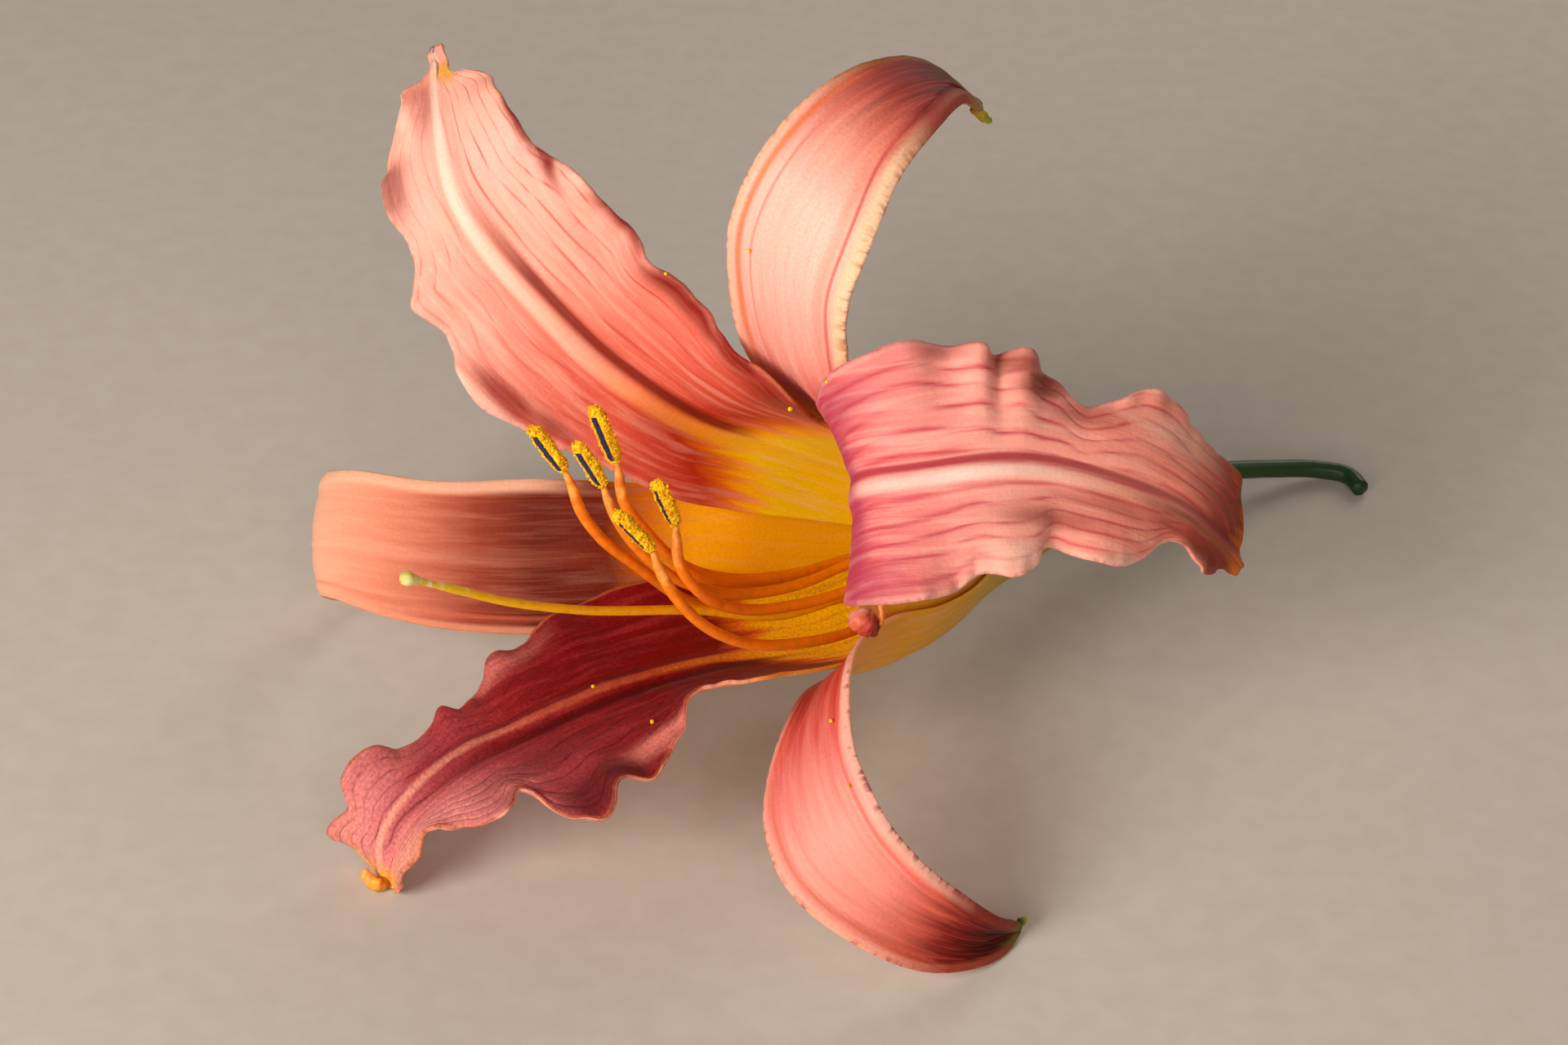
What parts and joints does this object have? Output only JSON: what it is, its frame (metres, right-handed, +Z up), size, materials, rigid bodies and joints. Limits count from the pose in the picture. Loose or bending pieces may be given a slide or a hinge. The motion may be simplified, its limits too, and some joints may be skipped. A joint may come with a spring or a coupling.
{
  "type": "daylily flower",
  "caption": "Open daylily bloom lying on its side, with ruffled petals, curled sepals, curved stamens, a long pistil, a slim tube and a short stalk.",
  "frame": {"origin": "centre of the overall box at the surface that the flower lies on", "axes": "+Z up, +X from the petal tips toward the stalk's end, -Y toward the open throat's viewer"},
  "size_m": [0.1347, 0.1022, 0.0857],
  "materials": {
    "petal": "satin, slightly translucent",
    "sepal": "satin, slightly translucent",
    "tube": "satin, waxy",
    "stalk": "satin, waxy",
    "pistil": "satin, slightly translucent",
    "filament": "satin, slightly translucent",
    "anther": "powdery with pollen"
  },
  "bodies": {
    "root": {"petal_upper_left": "petal", "petal_right": "petal", "petal_lower_left": "petal", "sepal_upper": "sepal", "sepal_lower": "sepal", "sepal_left": "sepal", "flower_tube": "tube", "stalk": "stalk", "pistil": "pistil", "filament_1": "filament", "filament_2": "filament", "filament_3": "filament", "filament_4": "filament", "filament_5": "filament", "filament_6": "filament", "anther_1": "anther", "anther_2": "anther", "anther_3": "anther", "anther_4": "anther", "anther_5": "anther", "anther_6": "anther"}
  },
  "joints": []
}
